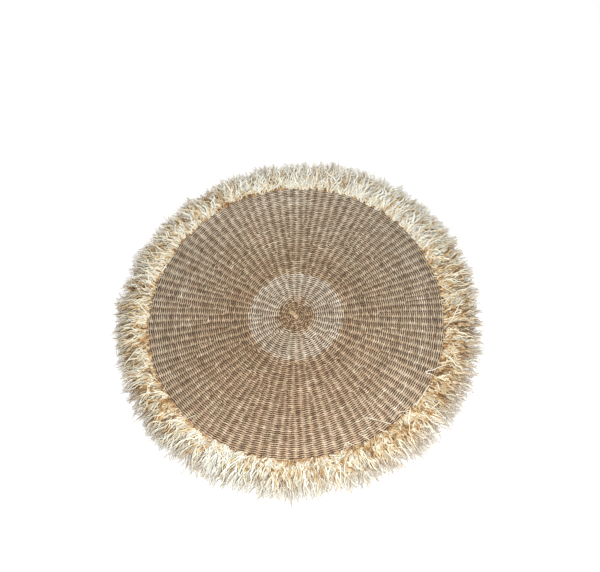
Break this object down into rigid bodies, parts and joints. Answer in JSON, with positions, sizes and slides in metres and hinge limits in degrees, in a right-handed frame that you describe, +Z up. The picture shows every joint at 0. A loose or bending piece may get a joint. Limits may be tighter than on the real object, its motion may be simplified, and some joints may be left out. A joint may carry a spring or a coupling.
{
  "type": "round raffia rug",
  "caption": "Round floor rug: a flat mat of twined grass cord with a pale ring round its middle and a shaggy raffia fringe all round its rim.",
  "frame": {"origin": "on the floor under the middle of the rug's outline", "axes": "+Z up from the floor; the fringe is longest towards -Y, and the stray strands over the mat are towards +X and -Y"},
  "size_m": [1.4794, 1.4934, 0.0325],
  "materials": {
    "twined_grass": "matte",
    "raffia": "matte"
  },
  "bodies": {
    "root": {"mat": "twined_grass", "fringe_1": "raffia", "fringe_2": "raffia", "fringe_3": "raffia", "fringe_4": "raffia", "fringe_5": "raffia", "fringe_6": "raffia", "fringe_7": "raffia", "fringe_8": "raffia"}
  },
  "joints": []
}
